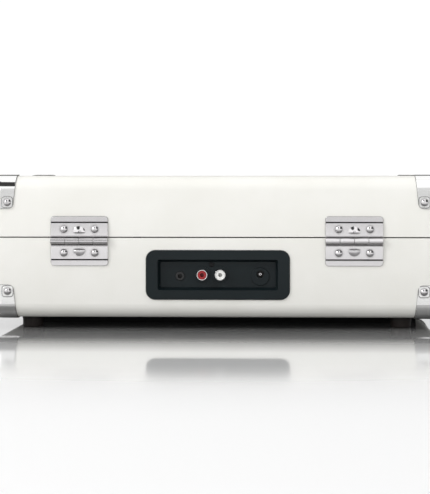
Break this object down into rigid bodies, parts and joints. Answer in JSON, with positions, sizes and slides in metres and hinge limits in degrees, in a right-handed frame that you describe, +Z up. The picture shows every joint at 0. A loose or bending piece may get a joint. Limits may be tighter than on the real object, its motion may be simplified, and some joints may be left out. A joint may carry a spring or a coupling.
{
  "type": "suitcase record player",
  "caption": "Portable record player in a leatherette suitcase: hinged lid, belt-driven platter, tonearm, front speakers, carrying handle and rear jack panel.",
  "frame": {"origin": "bottom centre of the whole object, on the plane of the feet", "axes": "+X along the case's long side, +Y towards the hinge and jack side, -Y towards handle and latches, +Z up"},
  "size_m": [0.378, 0.2804, 0.124],
  "materials": {
    "leatherette": "fine grained cream-white leatherette, satin",
    "wood": "bare board",
    "nickel": "bright nickel plate",
    "black_plastic": "moulded, fine spark texture",
    "jack_plastic": "moulded blue-black, satin",
    "red_plastic": "moulded red",
    "white_plastic": "moulded white",
    "rubber": "dark brown-black rubber",
    "deck": "moulded cream, satin",
    "grille": "black powder coat",
    "cone": "black paper cone",
    "platter": "black moulded",
    "felt": "black felt",
    "steel": "turned steel",
    "brass": "turned brass",
    "belt": "black rubber",
    "board_green": "green solder mask",
    "motor_can": "zinc plated",
    "lining": "black woven lining",
    "arm_metal": "satin anodised tube",
    "arm_plastic": "black moulded",
    "lamp": "clear red lens",
    "lead_pvc": "PVC covered wire"
  },
  "bodies": {
    "base": {"arm_base": "arm_plastic", "arm_rest": "arm_plastic", "aux_jack": "black_plastic", "base_carcass": "wood", "base_corners": "nickel", "base_rivets": "nickel", "base_wrap": "leatherette", "bearing_bush": "brass", "circuit_boards": "board_green", "control_switches": "black_plastic", "deck": "deck", "drive_belt": "belt", "feet": "rubber", "handle_brackets": "nickel", "headphone_jack": "black_plastic", "hinge_and_latch_pins": "nickel", "hinge_base_leaves": "nickel", "jack_panel": "jack_plastic", "latch_plates": "nickel", "leads": "lead_pvc", "motor": "motor_can", "power_contacts": "nickel", "power_jack": "black_plastic", "power_lamp": "lamp", "rca_insert_red": "red_plastic", "rca_insert_white": "white_plastic", "rca_shells": "nickel", "screws": "steel", "speaker_grilles": "grille", "speakers": "cone"},
    "lid": {"lid_carcass": "wood", "lid_wrap": "leatherette", "lid_lining": "lining", "lid_corners": "nickel", "lid_rivets": "nickel", "hinge_lid_leaves": "nickel", "latch_catches": "nickel"},
    "platter": {"platter": "platter", "platter_mat": "felt", "spindle": "steel"},
    "motor_pulley": {"motor_pulley": "brass"},
    "arm_swivel": {"arm_gimbal": "arm_plastic"},
    "tonearm": {"arm_tube": "arm_metal", "headshell": "arm_plastic", "cartridge": "arm_plastic", "stylus": "red_plastic", "counterweight": "arm_metal"},
    "cue_lever": {"cue_lever": "nickel"},
    "cue_lift": {"cue_lift": "arm_plastic"},
    "arm_clip": {"arm_clip": "arm_plastic"},
    "volume_knob": {"volume_knob": "black_plastic"},
    "function_knob": {"function_knob": "black_plastic"},
    "speed_lever": {"speed_lever": "black_plastic"},
    "autostop_slider": {"autostop_slider": "black_plastic"},
    "record_adapter": {"record_adapter": "arm_metal"},
    "handle": {"handle_grip": "leatherette", "handle_ends": "nickel"},
    "latch_left": {"latch_lever_left": "nickel"},
    "latch_right": {"latch_lever_right": "nickel"}
  },
  "joints": [
    {"name": "lid_hinge", "type": "hinge", "parent": "base", "child": "lid", "pos_m": [0, 0.13765, 0.0707], "axis": [-1, 0, 0], "range_deg": [0, 95]},
    {"name": "platter_spin", "type": "hinge", "parent": "base", "child": "platter", "pos_m": [-0.046, 0.00475, 0.0692], "axis": [0, 0, 1], "continuous": true},
    {"name": "motor_pulley_spin", "type": "hinge", "parent": "base", "child": "motor_pulley", "pos_m": [-0.10398, -0.05323, 0.0692], "axis": [0, 0, 1], "continuous": true},
    {"name": "arm_swing", "type": "hinge", "parent": "base", "child": "arm_swivel", "pos_m": [0.118, 0.08875, 0.0692], "axis": [0, 0, -1], "range_deg": [0, 48]},
    {"name": "tonearm_lift", "type": "hinge", "parent": "arm_swivel", "child": "tonearm", "pos_m": [0.118, 0.08875, 0.0965], "axis": [-1, 0, 0], "range_deg": [0, 3]},
    {"name": "cue_lever_turn", "type": "hinge", "parent": "base", "child": "cue_lever", "pos_m": [0.1475, 0.06025, 0.076], "axis": [-1, 0, 0], "range_deg": [0, 60]},
    {"name": "cue_lift_rise", "type": "slide", "parent": "base", "child": "cue_lift", "axis": [0, 0, 1], "range_m": [0, 0.00246]},
    {"name": "arm_clip_turn", "type": "hinge", "parent": "base", "child": "arm_clip", "pos_m": [0.1275, -0.02525, 0.0975], "axis": [0, -1, 0], "range_deg": [0, 180]},
    {"name": "volume_turn", "type": "hinge", "parent": "base", "child": "volume_knob", "pos_m": [0.15, -0.09325, 0.0692], "axis": [0, 0, -1], "range_deg": [0, 290]},
    {"name": "function_turn", "type": "hinge", "parent": "base", "child": "function_knob", "pos_m": [0.15, -0.05525, 0.0692], "axis": [0, 0, -1], "range_deg": [-30, 30]},
    {"name": "speed_slide", "type": "slide", "parent": "base", "child": "speed_lever", "axis": [1, 0, 0], "range_m": [-0.008, 0.008]},
    {"name": "autostop_slide", "type": "slide", "parent": "base", "child": "autostop_slider", "axis": [1, 0, 0], "range_m": [-0.004, 0.004]},
    {"name": "adapter_lift_out", "type": "slide", "parent": "base", "child": "record_adapter", "axis": [0, 0, 1], "range_m": [0, 0.02]},
    {"name": "handle_swing", "type": "hinge", "parent": "base", "child": "handle", "pos_m": [0, -0.13325, 0.057], "axis": [-1, 0, 0], "range_deg": [0, 90]},
    {"name": "latch_left_turn", "type": "hinge", "parent": "base", "child": "latch_left", "pos_m": [0.092, -0.12955, 0.0602], "axis": [1, 0, 0], "range_deg": [0, 110]},
    {"name": "latch_right_turn", "type": "hinge", "parent": "base", "child": "latch_right", "pos_m": [-0.092, -0.12955, 0.0602], "axis": [1, 0, 0], "range_deg": [0, 110]}
  ],
  "couplings": [
    {"joint": "motor_pulley_spin", "follows": "platter_spin", "ratio": 11.574},
    {"joint": "cue_lever_turn", "follows": "tonearm_lift", "ratio": 20},
    {"joint": "cue_lift_rise", "follows": "tonearm_lift", "m_per_rad": 0.047038}
  ]
}
